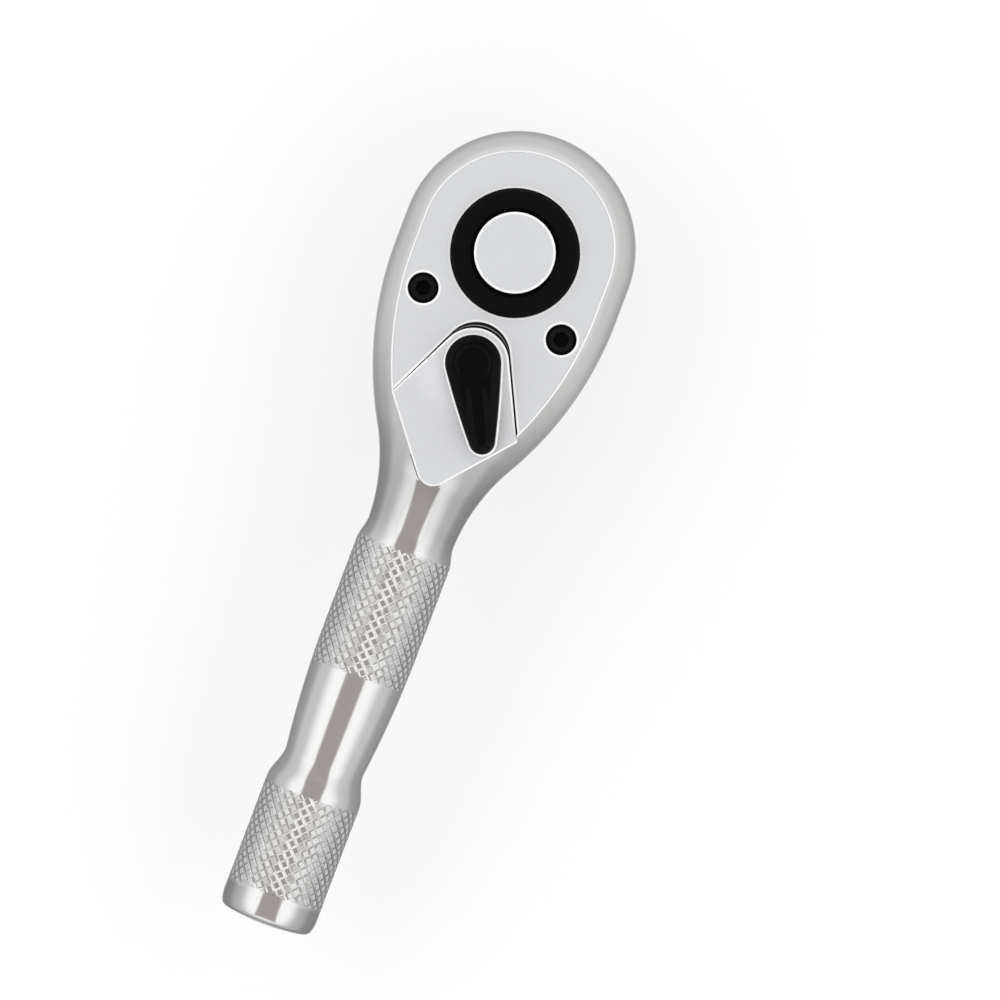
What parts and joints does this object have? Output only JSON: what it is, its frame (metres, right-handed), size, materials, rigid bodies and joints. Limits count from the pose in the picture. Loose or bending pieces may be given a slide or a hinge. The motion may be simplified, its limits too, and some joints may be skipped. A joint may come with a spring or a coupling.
{
  "type": "mini ratchet wrench",
  "caption": "Short reversible ratchet wrench with a pear-shaped head, square drive, push-button socket release, thumb lever and a round knurled handle.",
  "frame": {"origin": "on the drive axis, at the shoulder that a socket seats against", "axes": "-Z along the square drive towards its tip, +Z out of the cover plate, the handle along -Y, +Y towards the nose of the head"},
  "size_m": [0.0238, 0.085, 0.0216],
  "materials": {
    "chrome_body": "polished chrome plate, knurled on the grips",
    "satin_plate": "satin chrome plate",
    "black_steel": "black phosphate on steel",
    "black_lever": "satin black coating on cast metal",
    "bright_steel": "ground hardened steel",
    "bronze": "plain bronze",
    "rubber": "plain black rubber"
  },
  "bodies": {
    "housing": {"body": "chrome_body", "cover_plate": "satin_plate", "cover_screws": "black_steel", "pawl_pin": "bright_steel"},
    "drive": {"drive_gear": "black_steel", "drive_o_ring": "rubber", "thrust_washer": "bronze", "button_spring": "bright_steel", "button_snap_ring": "bright_steel"},
    "button": {"release_button": "satin_plate", "release_pin": "bright_steel"},
    "ball": {"detent_ball": "bright_steel"},
    "selector": {"reversing_lever": "black_lever", "selector_shaft": "bright_steel", "selector_spring": "bright_steel", "selector_ball": "bright_steel", "shaft_clip": "bright_steel", "shaft_o_ring": "rubber"},
    "rocker": {"pawl": "bright_steel"}
  },
  "joints": [
    {"name": "drive_spin", "type": "hinge", "parent": "housing", "child": "drive", "pos_m": [0, 0, 0], "axis": [0, 0, 1], "continuous": true},
    {"name": "button_press", "type": "slide", "parent": "drive", "child": "button", "axis": [0, 0, -1], "range_m": [0, 0.002], "stiffness_N_per_m": 1000, "springref_m": -0.002, "deforming": ["button_spring"]},
    {"name": "ball_retract", "type": "slide", "parent": "drive", "child": "ball", "axis": [-1, 0, 0], "range_m": [0, 0.0006]},
    {"name": "lever_swing", "type": "hinge", "parent": "housing", "child": "selector", "pos_m": [0, -0.0118, 0], "axis": [0, 0, 1], "range_deg": [-54, 0]},
    {"name": "pawl_rock", "type": "hinge", "parent": "housing", "child": "rocker", "pos_m": [0, -0.00877, 0], "axis": [0, 0, 1], "range_deg": [0, 10]}
  ],
  "couplings": [
    {"joint": "ball_retract", "follows": "button_press", "ratio": 0.3},
    {"joint": "pawl_rock", "follows": "lever_swing", "ratio": -0.18519}
  ]
}
